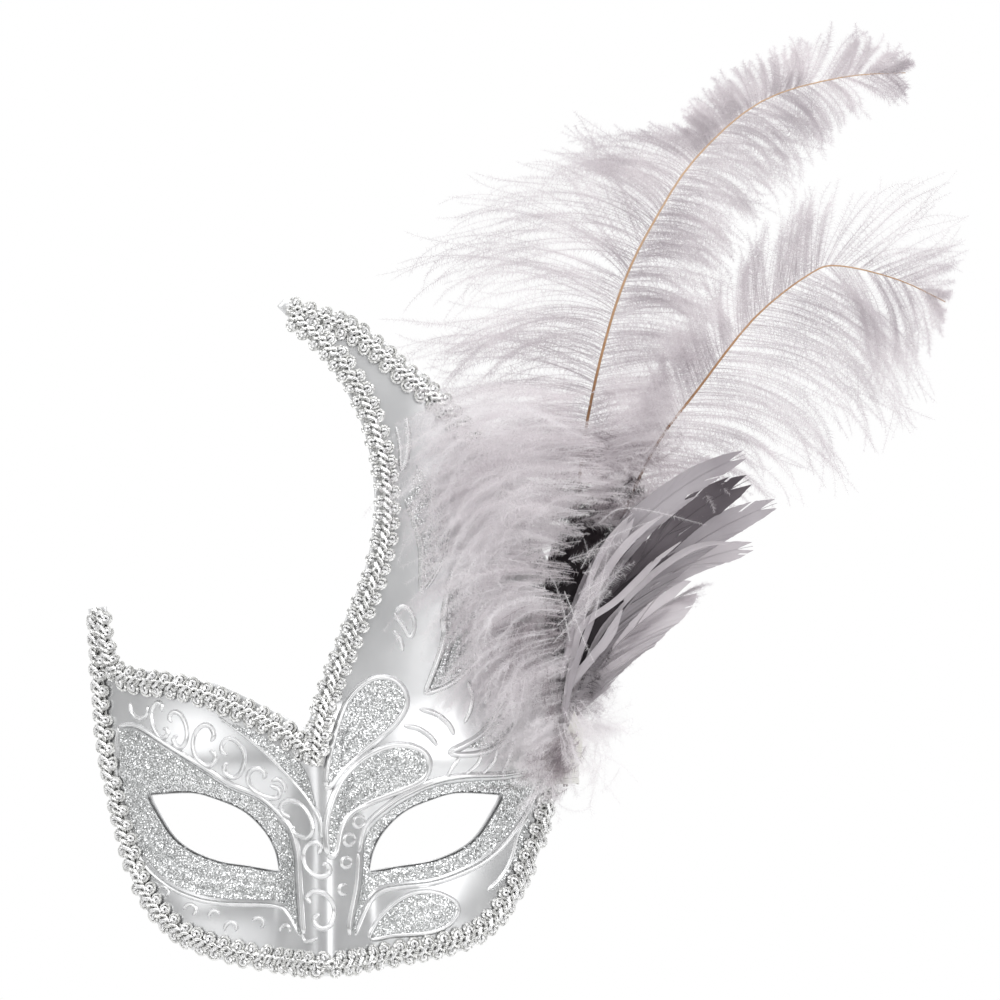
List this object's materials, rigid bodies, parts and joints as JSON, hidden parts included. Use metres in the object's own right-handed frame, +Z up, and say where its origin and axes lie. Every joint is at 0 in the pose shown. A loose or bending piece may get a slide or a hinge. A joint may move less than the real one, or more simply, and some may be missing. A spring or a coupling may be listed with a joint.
{
  "type": "venetian masquerade mask",
  "caption": "Silver half mask with a tall curled horn, braided metallic edging, glitter and raised piping, and a spray of ostrich, marabou and goose feathers at one temple.",
  "frame": {"origin": "midway between the wearer's eyes, at eye height, behind the shell's nose bridge", "axes": "+Z up along the horn, +X towards the plumed temple (the viewer's right), -Y out of the mask's face, +Y towards the wearer"},
  "size_m": [0.317, 0.0627, 0.3395],
  "materials": {
    "shell_silver": "satin",
    "braid": "gloss",
    "glitter": "gloss",
    "piping": "gloss",
    "ostrich": "matte",
    "marabou": "matte",
    "goose": "satin",
    "quill": "satin",
    "thread": "matte",
    "glue": "gloss",
    "felt": "matte",
    "satin": "satin"
  },
  "bodies": {
    "mask": {"shell": "shell_silver", "braid_temple_left": "braid", "braid_brow": "braid", "braid_horn_inner": "braid", "braid_horn_outer": "braid", "braid_jaw": "braid", "braid_temple_right": "braid", "glitter_eye_left": "glitter", "glitter_eye_right": "glitter", "glitter_petal_upper": "glitter", "glitter_petal_lower": "glitter", "glitter_petal_cheek": "glitter", "glitter_brow_wedge": "glitter", "glitter_flame_1": "glitter", "glitter_flame_2": "glitter", "glitter_flame_3": "glitter", "glitter_cheek_edge": "glitter", "piping_left": "piping", "piping_right": "piping", "piping_horn": "piping", "blade_1": "goose", "blade_2": "goose", "blade_3": "goose", "blade_4": "goose", "blade_5": "goose", "blade_6": "goose", "marabou_upper": "marabou", "marabou_middle": "marabou", "marabou_lower": "marabou", "quill_stubs": "quill", "quill_binding": "thread", "glue_pad": "glue", "felt_patch": "felt", "ribbon_left": "satin", "ribbon_right": "satin", "ribbon_fold": "satin"},
    "tall_plume": {"tall_quill": "quill", "tall_vane": "ostrich"},
    "side_plume": {"side_quill": "quill", "side_vane": "ostrich"}
  },
  "joints": [
    {"name": "tall_plume_sway", "type": "hinge", "parent": "mask", "child": "tall_plume", "pos_m": [0.0865, 0.0107, 0.0385], "axis": [0, 1, 0], "range_deg": [-8, 8], "stiffness_Nm_per_rad": 0.6},
    {"name": "side_plume_sway", "type": "hinge", "parent": "mask", "child": "side_plume", "pos_m": [0.0865, 0.0032, 0.0385], "axis": [0, 1, 0], "range_deg": [-8, 8], "stiffness_Nm_per_rad": 0.4}
  ]
}
